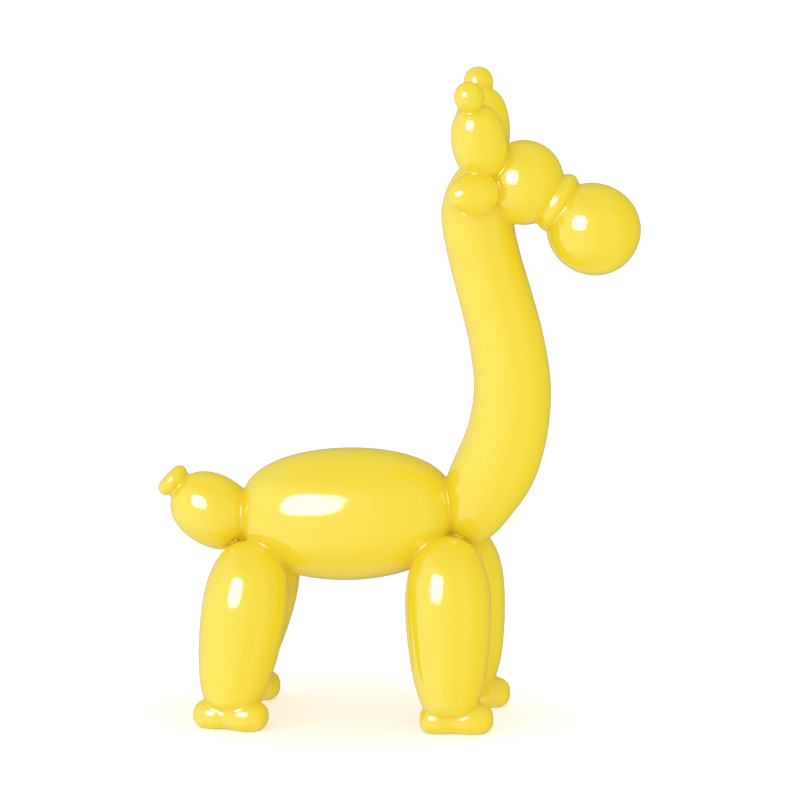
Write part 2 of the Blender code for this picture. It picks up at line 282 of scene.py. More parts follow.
class Curve:
    """A smooth curve through a few points, with its slope and bend."""

    def __init__(self, points):
        points = np.array([tuple(point) for point in points], dtype=float)
        before = points[0] * 2.0 - points[1]
        after = points[-1] * 2.0 - points[-2]
        self.padded = np.vstack([before, points, after])
        self.spans = len(points) - 1

    def at(self, shares):
        """Give points, slopes and bends at shares of the curve; past its ends it runs straight."""
        inside = np.clip(shares, 0.0, 1.0)
        place_on = inside * self.spans
        span = np.minimum(place_on.astype(int), self.spans - 1)
        t = (place_on - span)[:, None]
        p0, p1, p2, p3 = (self.padded[span + step] for step in range(4))
        tangent_in = (p2 - p0) / 2.0
        tangent_out = (p3 - p1) / 2.0
        point = (p1 * (2 * t ** 3 - 3 * t ** 2 + 1) + tangent_in * (t ** 3 - 2 * t ** 2 + t)
                 + p2 * (3 * t ** 2 - 2 * t ** 3) + tangent_out * (t ** 3 - t ** 2))
        slope = (p1 * (6 * t ** 2 - 6 * t) + tangent_in * (3 * t ** 2 - 4 * t + 1)
                 + p2 * (6 * t - 6 * t ** 2) + tangent_out * (3 * t ** 2 - 2 * t)) * self.spans
        bend = (p1 * (12 * t - 6) + tangent_in * (6 * t - 4)
                + p2 * (6 - 12 * t) + tangent_out * (6 * t - 2)) * self.spans ** 2
        beyond = (shares - inside)[:, None]
        bend = np.where(beyond == 0.0, bend, 0.0)
        return point + slope * beyond, slope, bend


class Bubble:
    """A blown bubble: round rings along a path, closed by a dome at each end."""

    REACH = 0.006
    FIRST_GUESSES = 25
    NEAREST_ROUNDS = 4

    def __init__(self, name, path, radius_at, fullness, dome_shares=(0.5, 0.5), widening=1.0,
                 waist=2.0):
        self.name = name
        self.curve = Curve(path)
        self.radius_at = radius_at
        self.fullness = fullness if isinstance(fullness, tuple) else (fullness, fullness)
        self.dome_shares = dome_shares
        self.widening = widening
        self.waist = waist
        guesses = np.linspace(0.0, 1.0, self.FIRST_GUESSES)
        self.guesses = guesses
        self.guess_points, slope, _ = self.curve.at(guesses)
        self.side = np.array((0.0, 1.0, 0.0)) - slope[0] * slope[0][1] / (slope[0] @ slope[0])
        self.side /= np.linalg.norm(self.side)
        reach = float(np.max(radius_at(guesses))) * max(1.0, widening) + self.REACH
        self.low = self.guess_points.min(axis=0) - reach
        self.high = self.guess_points.max(axis=0) + reach

    def near(self, points):
        """Say which points are close enough to matter."""
        return np.all((points > self.low) & (points < self.high), axis=1)

    def along(self, points):
        """Give each point's share along the path, its offset from the path, and the share's rise."""
        if self.curve.spans == 1:
            start, end = self.guess_points[0], self.guess_points[-1]
            step = end - start
            share = (points - start) @ step / (step @ step)
            offset = points - start - share[:, None] * step
            return share, offset, np.broadcast_to(step / (step @ step), points.shape)
        gaps = (np.einsum("ij,ij->i", self.guess_points, self.guess_points)[None, :]
                - 2.0 * points @ self.guess_points.T)
        share = self.guesses[np.argmin(gaps, axis=1)]
        for _ in range(self.NEAREST_ROUNDS):
            place_on, slope, bend = self.curve.at(share)
            offset = points - place_on
            miss = np.einsum("ij,ij->i", offset, slope)
            steep = np.einsum("ij,ij->i", slope, slope) - np.einsum("ij,ij->i", offset, bend)
            share = share + np.clip(miss / np.maximum(steep, 1e-6), -0.05, 0.05)
        place_on, slope, bend = self.curve.at(share)
        offset = points - place_on
        steep = np.einsum("ij,ij->i", slope, slope) - np.einsum("ij,ij->i", offset, bend)
        return share, offset, slope / np.maximum(steep, 1e-6)[:, None]

    def distance(self, points):
        """Give each point's distance outside the skin, near it, and the way outwards."""
        share, offset, share_rise = self.along(points)
        squash = 1.0 - 1.0 / self.widening ** 2
        pulled = offset - self.side * (offset @ self.side)[:, None] * squash
        across = np.sqrt(np.maximum(np.einsum("ij,ij->i", offset, pulled), 1e-14))
        across_rise = pulled / across[:, None]
        inside = np.clip(share, 0.0, 1.0)
        radius = self.radius_at(inside)
        step = 1e-4
        widens = (self.radius_at(np.clip(inside + step, 0.0, 1.0))
                  - self.radius_at(np.clip(inside - step, 0.0, 1.0))) / (2.0 * step)
        out = across / radius
        out_rise = (across_rise - share_rise * (out * widens)[:, None]) / radius[:, None]
        from_start = share / self.dome_shares[0]
        from_end = (1.0 - share) / self.dome_shares[1]
        inward = np.maximum(1.0 - np.minimum(from_start, from_end), 0.0)
        turn_in = np.where(from_start < from_end, -1.0 / self.dome_shares[0],
                           1.0 / self.dome_shares[1]) * (inward > 0.0)
        full = np.where(from_start < from_end, self.fullness[0], self.fullness[1])
        rest = inward ** self.waist + out ** full
        swell = rest ** (1.0 / full)
        slope = (share_rise * (self.waist / full * inward ** (self.waist - 1.0) * turn_in)[:, None]
                 + out_rise * (out ** (full - 1.0))[:, None]) / (swell ** (full - 1.0))[:, None]
        steepness = np.maximum(np.linalg.norm(slope, axis=1), 1e-9)
        return (swell - 1.0) / steepness, slope / steepness[:, None]

    def skin(self, share, ring):
        """Give the skin's points at shares along the path and places round each ring."""
        centre, along, _ = self.curve.at(share)
        along /= np.linalg.norm(along, axis=1)[:, None]
        side = np.array((0.0, 1.0, 0.0)) - along * along[:, 1:2]
        side /= np.linalg.norm(side, axis=1)[:, None]
        up = np.cross(along, side)
        to_end = np.minimum(share / self.dome_shares[0], (1.0 - share) / self.dome_shares[1])
        inward = 1.0 - np.clip(to_end, 0.0, 1.0)
        full = np.where(share / self.dome_shares[0] < (1.0 - share) / self.dome_shares[1],
                        self.fullness[0], self.fullness[1])
        radius = self.radius_at(share) * (1.0 - inward ** self.waist) ** (1.0 / full)
        offset = side * ring[:, :1] * self.widening + up * ring[:, 1:]
        return centre + offset * radius[:, None]


class Melted:
    """Two bubbles that run together so softly that they make one form."""

    def __init__(self, name, bubbles, softness):
        self.name = name
        self.bubbles = bubbles
        self.softness = softness
        self.low = np.min([bubble.low for bubble in bubbles], axis=0)
        self.high = np.max([bubble.high for bubble in bubbles], axis=0)

    def near(self, points):
        """Say which points are close enough to matter."""
        return np.all((points > self.low) & (points < self.high), axis=1)

    def distance(self, points):
        """Give each point's distance outside the melted skin and the way outwards."""
        (own, way), (other, other_way) = (bubble.distance(points) for bubble in self.bubbles)
        overlap = np.maximum(self.softness - np.abs(own - other), 0.0) / self.softness
        leading = np.where(own < other, 1.0 - overlap / 2.0, overlap / 2.0)[:, None]
        both = way * leading + other_way * (1.0 - leading)
        steepness = np.maximum(np.linalg.norm(both, axis=1), LEAST_MELTED_SLOPE)
        lowest = np.minimum(own, other) - overlap ** 2 * self.softness / 4.0
        return lowest / steepness, both / steepness[:, None]


def tapered(radius, taper):
    """Give a radius along a bubble; a negative taper slims it towards its end."""
    def radius_at(share):
        return radius * (1.0 + taper * (2.0 * share - 1.0))
    return radius_at


def straight(name, start, end, radius, fullness, taper=0.0, widening=1.0):
    """Describe a straight bubble."""
    return Bubble(name, (start, end), tapered(radius, taper), fullness, widening=widening)


def about(name, centre, direction, half_length, radius, fullness):
    """Describe a straight bubble about its centre."""
    reach = direction.normalized() * half_length
    return straight(name, centre - reach, centre + reach, radius, fullness)


def mirrored(point, side):
    """Give a left-side point's place on the wanted side."""
    return Vector((point[0], point[1] * SIDES[side], point[2]))


def body_points(settings):
    """Give the back, middle and front of the body's axis."""
    trunk = settings.trunk
    reach = Vector((trunk.body_length, 0.0, trunk.body_rise)) / 2.0
    middle = Vector((0.0, 0.0, trunk.body_height))
    sag = Vector((0.0, 0.0, trunk.body_sag))
    return middle - reach, middle - sag, middle + reach


def neck_points(settings):
    """Give the neck's path, from inside the body up to the crown."""
    foot = body_points(settings)[-1] + Vector(settings.neck.start)
    return [foot + Vector((x, 0.0, z)) * settings.neck.rise for x, z in NECK_PATH]


def trunk_bubbles(settings):
    """Describe the body, the tail and the knot."""
    trunk = settings.trunk
    back, middle, front = body_points(settings)
    tip = back + Vector(trunk.tail_tip)
    outward = Vector((-math.cos(trunk.knot_lean), 0.0, math.sin(trunk.knot_lean)))
    return [
        Bubble("body", (back, middle, front), lambda share: trunk.body_radius + share * 0.0,
               trunk.body_fullness),
        straight("tail", back + Vector(trunk.tail_start), tip, trunk.tail_radius,
                 trunk.tail_fullness),
        about("knot_stem", tip + Vector(trunk.knot_stem_out), outward,
              trunk.knot_stem_half_length, trunk.knot_stem_radius, trunk.knot_fullness),
        about("knot_lip", tip + Vector(trunk.knot_lip_out), outward,
              trunk.knot_lip_half_length, trunk.knot_lip_radius, trunk.knot_fullness),
    ]


def leg_bubbles(settings):
    """Describe the legs and their feet."""
    legs = settings.legs
    back, _, front = body_points(settings)
    bubbles = []
    for leg, (hip_share, ankle_share, foot_share, foot_turn) in STANCE.items():
        end, side = leg.split("_")
        is_front = end == "front"
        root = front if is_front else back
        track = legs.front_track if is_front else legs.rear_track
        radius = legs.front_radius if is_front else legs.rear_radius
        spacing = legs.front_toe_spacing if is_front else legs.rear_toe_spacing
        hip_x, ankle_x, foot_x = (
            root.x + share * settings.trunk.body_length
            for share in (hip_share, ankle_share, foot_share)
        )
        ankle_out = legs.front_ankle_out if is_front else legs.rear_ankle_out
        way_out = Vector((-math.sin(legs.bow_turn), math.cos(legs.bow_turn), 0.0)) * SIDES[side]
        hip = Vector((hip_x, SIDES[side] * legs.hip_spread / 2.0, root.z - legs.hip_drop))
        sole = Vector((foot_x, SIDES[side] * track / 2.0, 0.0))
        ankle = Vector((ankle_x, sole.y, legs.ankle_height)) + way_out * ankle_out
        bowed = [hip.lerp(ankle, share) + way_out * bow for share, bow in LEG_BOW]
        bubbles.append(Bubble(
            f"{leg}_leg", (hip, *bowed, ankle), tapered(radius, legs.taper),
            (legs.hip_fullness, legs.ankle_fullness),
        ))
        angle = math.radians(foot_turn)
        forward = Vector((math.cos(angle), math.sin(angle), 0.0))
        lobes = []
        for part, half_length, half_height, way, lift in (
            ("heel", legs.heel_half_length, legs.heel_half_height, -1.0, 0.0),
            ("toe", legs.toe_half_length, legs.toe_half_height, 1.0, legs.toe_lift),
        ):
            centre = sole + forward * spacing / 2.0 * way
            centre.z = half_height - legs.foot_flat - lift / 2.0
            reach = forward * half_length
            raised = Vector((0.0, 0.0, lift))
            lobes.append(straight(
                f"{leg}_{part}", centre - reach, centre + reach + raised, half_height,
                legs.foot_fullness, widening=legs.foot_widening,
            ))
        bubbles.append(Melted(f"{leg}_foot", lobes, legs.foot_melt))
    return bubbles


def neck_bubbles(settings):
    """Describe the neck, slim at its waist and full at its base."""
    neck = settings.neck
    waist_radius, waist_at = neck.waist_radius, neck.waist_at
    flare, power = neck.base_flare, neck.flare_power

    def radius_at(share):
        return waist_radius + flare * (np.abs(share - waist_at) / waist_at) ** power
    domes = (neck.base_dome_share, neck.dome_share)
    return [Bubble("neck", neck_points(settings), radius_at, neck.fullness, domes,
                   waist=neck.fullness)]


def head_bubbles(settings):
    """Describe the head, the thin ring before it and the big round muzzle."""
    head = settings.head
    crown = neck_points(settings)[-1]
    snout = Vector((math.cos(head.snout_pitch), 0.0, math.sin(head.snout_pitch)))
    ring_way = Vector((math.cos(head.ring_pitch), 0.0, math.sin(head.ring_pitch)))
    level = Vector((1.0, 0.0, 0.0))
    return [
        about("head", crown + Vector(head.head_centre), level, head.head_half_length,
              head.head_radius, head.round_fullness),
        about("snout_ring", crown + Vector(head.ring_centre), ring_way, head.ring_half_length,
              head.ring_radius, head.ring_fullness),
        about("muzzle", crown + Vector(head.muzzle_centre), snout, head.muzzle_half_length,
              head.muzzle_radius, head.round_fullness),
    ]


def horn_and_ear_bubbles(settings):
    """Describe an ear and a horn with its ball on each side of the crown."""
    head = settings.head
    crown = neck_points(settings)[-1]
    bubbles = []
    for side in SIDES:
        base = crown + mirrored(head.horn_base, side)
        tip = crown + mirrored(head.horn_tip, side)
        out = mirrored(head.ball_out, side)
        ball = tip + out
        if side == "left":
            base.x -= head.left_horn_back
            tip.z += head.left_horn_extra
            ball.z += head.left_ball_lift
        bubbles.append(straight(f"{side}_horn", base, tip, head.horn_radius, head.horn_fullness))
        bubbles.append(about(f"{side}_horn_ball", ball, out, head.ball_half_length,
                             head.ball_radius, head.round_fullness))
        bubbles.append(straight(
            f"{side}_ear", crown + mirrored(head.ear_base, side),
            crown + mirrored(head.ear_tip, side), head.ear_radius, head.ear_fullness,
            head.ear_taper,
        ))
    return bubbles


def all_bubbles(settings):
    """Describe every bubble of the figure."""
    return (trunk_bubbles(settings) + leg_bubbles(settings) + neck_bubbles(settings)
            + head_bubbles(settings) + horn_and_ear_bubbles(settings))


def work_on(piece):
    """Select one piece alone and make it active."""
    bpy.ops.object.select_all(action="DESELECT")
    piece.select_set(True)
    bpy.context.view_layer.objects.active = piece


def bubble_store():
    """Give the collection that the loose bubbles wait in."""
    store = bpy.data.collections.get(BUBBLES)
    if store is None:
        store = bpy.data.collections.new(BUBBLES)
        bpy.context.scene.collection.children.link(store)
    return store


def blow(bubble):
    """Blow one bubble: a ball's rings are carried along the path and swollen to size."""
    if isinstance(bubble, Melted):
        for lobe in bubble.bubbles:
            blow(lobe)
        return
    bpy.ops.object.select_all(action="DESELECT")
    bpy.ops.mesh.primitive_uv_sphere_add(segments=BUBBLE_SEGMENTS, ring_count=BUBBLE_RINGS, radius=1.0)
    piece = bpy.context.active_object
    piece.name = bubble.name
    mesh = piece.data
    corners = np.empty(len(mesh.vertices) * 3)
    mesh.vertices.foreach_get("co", corners)
    corners = corners.reshape(-1, 3)
    share = (1.0 - corners[:, 2]) / 2.0
    ring = corners[:, :2] / np.maximum(np.linalg.norm(corners[:, :2], axis=1), 1e-9)[:, None]
    corners = bubble.skin(share, ring)
    mesh.vertices.foreach_set("co", corners.ravel())
    mesh.update()
    bpy.ops.object.mode_set(mode="EDIT")
    bpy.ops.mesh.select_all(action="SELECT")
    bpy.ops.mesh.normals_make_consistent(inside=False)
    bpy.ops.object.mode_set(mode="OBJECT")
    for holder in list(piece.users_collection):
        holder.objects.unlink(piece)
    bubble_store().objects.link(piece)


def blend_bubbles(bubbles, points, softness):
    """Measure points against the whole skin, creases softened.

    Gives the distance outside, the way outwards, and how deep in a crease each point is.
    """
    far = 1.0
    distance = np.full(len(points), far)
    outward = np.zeros((len(points), 3))
    crease = np.zeros(len(points))
    for bubble in bubbles:
        near = np.flatnonzero(bubble.near(points))
        if len(near) == 0:
            continue
        own, way = bubble.distance(points[near])
        other = distance[near]
        overlap = np.maximum(softness - np.abs(own - other), 0.0) / softness
        first = (own < other)[:, None]
        leading = 1.0 - overlap[:, None] / 2.0
        lead_own = np.where(first, leading, 1.0 - leading)
        distance[near] = np.minimum(own, other) - overlap ** 2 * softness / 4.0
        outward[near] = way * lead_own + outward[near] * (1.0 - lead_own)
        crease[near] = np.maximum(crease[near] * (1.0 - lead_own[:, 0]), overlap)
    return distance, outward, crease


def read_points(mesh):
    """Read a mesh's points."""
    points = np.empty(len(mesh.vertices) * 3)
    mesh.vertices.foreach_get("co", points)
    return points.reshape(-1, 3)


def settle(mesh, bubbles, softness, rounds):
    """Draw the fused skin onto the true bubbles, rounding each crease; give the crease depths."""
    points = read_points(mesh)
    for _ in range(rounds):
        distance, outward, crease = blend_bubbles(bubbles, points, softness)
        steep = np.maximum(np.einsum("ij,ij->i", outward, outward), LEAST_SLOPE)
        points -= outward * np.clip(distance / steep, -LONGEST_STEP, LONGEST_STEP)[:, None]
    mesh.vertices.foreach_set("co", points.ravel())
    mesh.update()
    return crease, outward


class GIRAFFE_OT_trunk(Operator):
    """Blow the body, the tail and its knot"""

    bl_idname = "giraffe.trunk"
    bl_label = "Body and tail"

    def execute(self, context):
        for bubble in trunk_bubbles(context.scene.giraffe):
            blow(bubble)
        return {"FINISHED"}


class GIRAFFE_OT_legs(Operator):
    """Blow the four legs and their feet"""

    bl_idname = "giraffe.legs"
    bl_label = "Legs and feet"

    def execute(self, context):
        for bubble in leg_bubbles(context.scene.giraffe):
            blow(bubble)
        return {"FINISHED"}


class GIRAFFE_OT_neck(Operator):
    """Blow the long neck"""

    bl_idname = "giraffe.neck"
    bl_label = "Neck"

    def execute(self, context):
        for bubble in neck_bubbles(context.scene.giraffe):
            blow(bubble)
        return {"FINISHED"}


class GIRAFFE_OT_head(Operator):
    """Blow the head, the snout ring, the muzzle, the horns and the ears"""

    bl_idname = "giraffe.head"
    bl_label = "Head, horns and ears"

    def execute(self, context):
        settings = context.scene.giraffe
        for bubble in head_bubbles(settings) + horn_and_ear_bubbles(settings):
            blow(bubble)
        return {"FINISHED"}


def select_faces(piece, marked):
    """Select the faces that hold any marked point."""
    work_on(piece)
    bpy.ops.object.mode_set(mode="EDIT")
    bpy.ops.mesh.select_all(action="DESELECT")
    bpy.ops.object.mode_set(mode="OBJECT")
    mesh = piece.data
    loops = np.empty(len(mesh.loops), dtype=np.int64)
    mesh.loops.foreach_get("vertex_index", loops)
    starts = np.empty(len(mesh.polygons), dtype=np.int64)
    mesh.polygons.foreach_get("loop_start", starts)
    chosen = np.logical_or.reduceat(marked[loops], starts)
    mesh.polygons.foreach_set("select", chosen)


def centre_on_frame(piece):
    """Bring the casting over the frame's middle, as the solid is, and press its soles flat."""
    points = read_points(piece.data)
    low, high = points.min(axis=0), points.max(axis=0)
    frame_low, frame_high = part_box(CASTING_NODE)
    for axis in (0, 1):
        points[:, axis] += (frame_low[axis] + frame_high[axis] - low[axis] - high[axis]) / 2.0
    points[:, 2] = np.maximum(points[:, 2], 0.0)
    piece.data.vertices.foreach_set("co", points.ravel())
    piece.data.update()


def fuse_bubbles(look):
    """Join the loose bubbles and fuse them into one skin."""
    loose = list(bubble_store().objects)
    if not loose:
        raise RuntimeError("no bubbles to fuse: run the steps before this one")
    bpy.ops.object.select_all(action="DESELECT")
    for bubble in loose:
        bubble.select_set(True)
    bpy.context.view_layer.objects.active = loose[0]
    bpy.ops.object.join()
    piece = bpy.context.view_layer.objects.active
    piece.name = "giraffe_casting"
    piece.data.name = "giraffe_casting"
    work_on(piece)
    fuse = piece.modifiers.new("fuse", "REMESH")
    fuse.mode = "VOXEL"
    fuse.voxel_size = look.skin_voxel
    bpy.ops.object.modifier_apply(modifier=fuse.name)
    return piece


def refine_creases(piece, crease):
    """Cut the faces in the creases finer, and turn all faces to triangles."""
    select_faces(piece, crease > FINE_CREASE)
    bpy.ops.object.mode_set(mode="EDIT")
    bpy.ops.mesh.subdivide(number_cuts=1)
    bpy.ops.mesh.select_all(action="SELECT")
    bpy.ops.mesh.quads_convert_to_tris()
    bpy.ops.object.mode_set(mode="OBJECT")


def smooth_skin(piece, crease, outward):
    """Keep the crease depths as the mask for the lacquer's painted crease shade, and shade by the
    bubbles' own way outwards.
    """
    outward = outward / np.linalg.norm(outward, axis=1)[:, None]
    outward[read_points(piece.data)[:, 2] < 0.0] = (0.0, 0.0, -1.0)
    depth = piece.data.attributes.new("crease_depth", "FLOAT", "POINT")
    depth.data.foreach_set("value", crease)
    piece.data.polygons.foreach_set("use_smooth", [True] * len(piece.data.polygons))
    piece.data.normals_split_custom_set_from_vertices(outward.tolist())


def take_out_of_store(piece):
    """Move the casting into the scene and drop the bubbles' collection."""
    store = bubble_store()
    store.objects.unlink(piece)
    bpy.context.scene.collection.objects.link(piece)
    bpy.data.collections.remove(store)


class GIRAFFE_OT_casting(Operator):
    """Fuse the bubbles into one casting, round its creases and lacquer it"""

    bl_idname = "giraffe.casting"
    bl_label = "Casting"

    def execute(self, context):
        settings = context.scene.giraffe
        look = settings.casting
        piece = fuse_bubbles(look)
        bubbles = all_bubbles(settings)
        crease, _ = settle(piece.data, bubbles, look.crease_blend, look.settle_rounds)
        refine_creases(piece, crease)
        crease, outward = settle(piece.data, bubbles, look.crease_blend, look.settle_rounds)
        smooth_skin(piece, crease, outward)
        centre_on_frame(piece)
        take_out_of_store(piece)
        piece.data.materials.clear()
        piece.data.materials.append(yellow_lacquer(look))
        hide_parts(CASTING_NODE)
        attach(piece, "root")
        return {"FINISHED"}


def linear_colour(code):
    """Turn an sRGB hex value into linear light, with full alpha."""
    parts = [int(code[start:start + 2], 16) / 255.0 for start in (1, 3, 5)]
    bent = [part / 12.92 if part <= 0.04045 else ((part + 0.055) / 1.055) ** 2.4 for part in parts]
    return (*bent, 1.0)


def add_node(tree, kind, settings=None, links=None):
    """Add a node, set its properties and inputs, and link other nodes' outputs to it."""
    node = tree.nodes.new(kind)
    for name, value in (settings or {}).items():
        if isinstance(name, str) and hasattr(node, name):
            setattr(node, name, value)
        else:
            node.inputs[name].default_value = value
    for name, source in (links or {}).items():
        tree.links.new(source, node.inputs[name])
    return node


def new_material(name):
    """Start a node material with its output alone."""
    material = bpy.data.materials.new(name)
    material.use_nodes = True
    material.node_tree.nodes.clear()
    return material, material.node_tree


# Blotches of colour and sheen are about 45 mm across, and the sprayed ripples 4 mm
BLOTCHES_PER_METRE = 22.0
RIPPLES_PER_METRE = 250.0
# Most amber in the deepest crease, as painted shade where the coat also lies thicker, and in a blotch
# on the open skin
CREASE_SHADE_AMBER = 0.55
BLOTCH_AMBER = 0.08
# How far a blotch takes the sheen's roughness up or down
BLOTCH_HAZE = 0.03


def yellow_lacquer(look):
    """Sprayed two-coat lacquer on cast resin.

    The colour coat gives a soft sheen; the clear coat over it mirrors the lights sharply, with a
    faint ripple from spraying. The creases are painted a darker, warmer amber: painted shade, and
    also where the coat lies a little thicker.
    """
    material, tree = new_material("sprayed_yellow_lacquer")
    place_on = add_node(tree, "ShaderNodeTexCoord")
    where = place_on.outputs["Object"]
    crease = add_node(tree, "ShaderNodeAttribute", {"attribute_name": "crease_depth"})
    drift = add_node(tree, "ShaderNodeTexNoise", {"Scale": BLOTCHES_PER_METRE, "Detail": 2.0},
                     {"Vector": where})
    # Painted shade: the deeper a point lies in a crease, the more amber it takes
    crease_shade = add_node(
        tree, "ShaderNodeMapRange",
        {"From Min": 0.0, "From Max": 1.0, "To Min": 0.0, "To Max": CREASE_SHADE_AMBER},
        {"Value": crease.outputs["Fac"]},
    )
    drifted = add_node(
        tree, "ShaderNodeMapRange",
        {"From Min": 0.3, "From Max": 0.7, "To Min": 0.0, "To Max": BLOTCH_AMBER},
        {"Value": drift.outputs["Fac"]},
    )
    # Amber share: painted crease shade plus the random blotch tone
    share = add_node(tree, "ShaderNodeMath", {"operation": "ADD", "use_clamp": True},
                     {0: crease_shade.outputs["Result"], 1: drifted.outputs["Result"]})
    colour = add_node(
        tree, "ShaderNodeMix", {"data_type": "RGBA"}, {0: share.outputs[0]},
    )
    colour.inputs[6].default_value = linear_colour(look.yellow)
    colour.inputs[7].default_value = linear_colour(look.shade_and_blotch_amber)
    # Orange peel: the ripples are a few microns high
    peel = add_node(tree, "ShaderNodeTexNoise", {"Scale": RIPPLES_PER_METRE, "Detail": 1.0},
                    {"Vector": where})
    ripple = add_node(
        tree, "ShaderNodeBump", {"Strength": 0.02, "Distance": 0.0004}, {"Height": peel.outputs["Fac"]},
    )
    haze = add_node(
        tree, "ShaderNodeMapRange",
        {"From Min": 0.3, "From Max": 0.7, "To Min": look.roughness - BLOTCH_HAZE,
         "To Max": look.roughness + BLOTCH_HAZE},
        {"Value": drift.outputs["Fac"]},
    )
    shader = add_node(
        tree, "ShaderNodeBsdfPrincipled",
        {"Metallic": 0.0, "IOR": 1.5, "Specular IOR Level": 0.0, "Coat Weight": 1.0,
         "Coat Roughness": look.clear_roughness, "Coat IOR": 1.5},
        {"Base Color": colour.outputs[2], "Roughness": haze.outputs["Result"],
         "Normal": ripple.outputs["Normal"], "Coat Normal": ripple.outputs["Normal"]},
    )
    add_node(tree, "ShaderNodeOutputMaterial", links={"Surface": shader.outputs["BSDF"]})
    return material


def studio_floor_paint(look):
    """Matt white paint on a studio floor, faintly mottled by the roller and lit from within.

    Its own glow keeps the open floor white, as the photo's is.
    """
    material, tree = new_material("matt_floor_paint")
    place_on = add_node(tree, "ShaderNodeTexCoord")
    mottle = add_node(tree, "ShaderNodeTexNoise", {"Scale": 3.0, "Detail": 3.0},
                      {"Vector": place_on.outputs["Object"]})
    rough = add_node(
        tree, "ShaderNodeMapRange", {"To Min": 0.75, "To Max": 0.9}, {"Value": mottle.outputs["Fac"]},
    )
    shader = add_node(
        tree, "ShaderNodeBsdfPrincipled",
        {"Base Color": linear_colour(look.floor_colour), "Specular IOR Level": 0.0,
         "Emission Color": (1.0, 1.0, 1.0, 1.0), "Emission Strength": look.floor_glow},
        {"Roughness": rough.outputs["Result"]},
    )
    add_node(tree, "ShaderNodeOutputMaterial", links={"Surface": shader.outputs["BSDF"]})
    return material


def aim(item, target):
    """Turn a lamp or camera to face a point."""
    item.rotation_euler = (Vector(target) - item.location).to_track_quat("-Z", "Y").to_euler()


# What the lacquer mirrors of the room's walls: degrees round from the camera to the left, and
# brightness there
MIRRORED_ROOM = (
    (-180.0, 0.30), (-135.0, 0.17), (-101.0, 0.30), (-84.0, 0.47), (-67.0, 0.74), (-51.0, 1.30),
    (-31.0, 1.05), (-13.0, 1.30), (0.0, 1.65), (13.0, 1.85), (41.0, 2.45), (81.0, 2.50),
    (102.0, 1.90), (140.0, 0.90), (180.0, 0.30),
)
# What it mirrors above and below them: where the walls start to fade, as height over distance,
# where they are gone, and the brightness there
MIRRORED_ENDS = ((0.60, 1.0, 0.80), (-0.60, -1.0, 0.75))
# Colours are kept under 1 and made brighter by this
MIRROR_SCALE = 3.0


def grey(brightness):
    """Give a mirrored brightness as a colour."""
    return (*[brightness / MIRROR_SCALE] * 3, 1.0)


def mirrored_room(tree, toward, leftward, upward):
    """Give the colour that the lacquer mirrors from each direction."""
    heading = add_node(tree, "ShaderNodeMath", {"operation": "ARCTAN2"}, {0: leftward, 1: toward})
    turned = add_node(
        tree, "ShaderNodeMapRange", {"From Min": -math.pi, "From Max": math.pi},
        {"Value": heading.outputs[0]},
    )
    walls = add_node(tree, "ShaderNodeValToRGB", links={"Fac": turned.outputs["Result"]})
    stops = walls.color_ramp.elements
    for degrees, _ in MIRRORED_ROOM[1:-1]:
        stops.new(degrees / 360.0 + 0.5)
    for stop, (degrees, brightness) in zip(stops, MIRRORED_ROOM):
        stop.position = degrees / 360.0 + 0.5
        stop.color = grey(brightness)
    colour = walls.outputs["Color"]
    for fade_from, gone_at, brightness in MIRRORED_ENDS:
        beyond = add_node(
            tree, "ShaderNodeMapRange",
            {"interpolation_type": "SMOOTHSTEP", "From Min": fade_from, "From Max": gone_at},
            {"Value": upward},
        )
        mixed = add_node(tree, "ShaderNodeMix", {"data_type": "RGBA"},
                         {0: beyond.outputs["Result"], 6: colour})
        mixed.inputs[7].default_value = grey(brightness)
        colour = mixed.outputs[2]
    return colour


def white_room(look, forward):
    """Light the scene from a white room: nearly even on matt surfaces, patchy in the lacquer.

    White walls light the statue, a little more from the front and the left. The lacquer mirrors
    those walls, the gap beside the right one and the darker back.
    """
    world = bpy.data.worlds.new("white_room")
    world.use_nodes = True
    world.cycles.sampling_method = "NONE"
    tree = world.node_tree
    tree.nodes.clear()
    to_camera = Vector((-forward.x, -forward.y, 0.0)).normalized()
    to_left = Vector((0.0, 0.0, -1.0)).cross(to_camera)
    way = add_node(tree, "ShaderNodeTexCoord").outputs["Generated"]
    toward, leftward, upward = (
        add_node(tree, "ShaderNodeVectorMath", {"operation": "DOT_PRODUCT", 1: tuple(axis)},
                 {0: way}).outputs["Value"]
        for axis in (to_camera, to_left, Vector((0.0, 0.0, 1.0)))
    )
    from_left = add_node(
        tree, "ShaderNodeMath",
        {"operation": "MULTIPLY_ADD", 1: look.room_lean, 2: look.room_light}, {0: leftward},
    )
    even = add_node(tree, "ShaderNodeMath", {"operation": "MULTIPLY_ADD", 1: look.room_front},
                    {0: toward, 2: from_left.outputs[0]})
    on_matt = add_node(tree, "ShaderNodeBackground", {"Color": (1.0, 1.0, 1.0, 1.0)},
                       {"Strength": even.outputs[0]})
    in_lacquer = add_node(tree, "ShaderNodeBackground", {"Strength": MIRROR_SCALE},
                          {"Color": mirrored_room(tree, toward, leftward, upward)})
    ray = add_node(tree, "ShaderNodeLightPath")
    seen = add_node(
        tree, "ShaderNodeMixShader",
        links={0: ray.outputs["Is Glossy Ray"], 1: on_matt.outputs[0], 2: in_lacquer.outputs[0]},
    )
    add_node(tree, "ShaderNodeOutputWorld", links={"Surface": seen.outputs[0]})
    return world


# The softbox's corners are cut off: across plus up from its middle, as shares of its edge,
# where it goes dark and where it is at full brightness
SOFTBOX_DARK_AT = 0.84
SOFTBOX_FULL_AT = 0.74


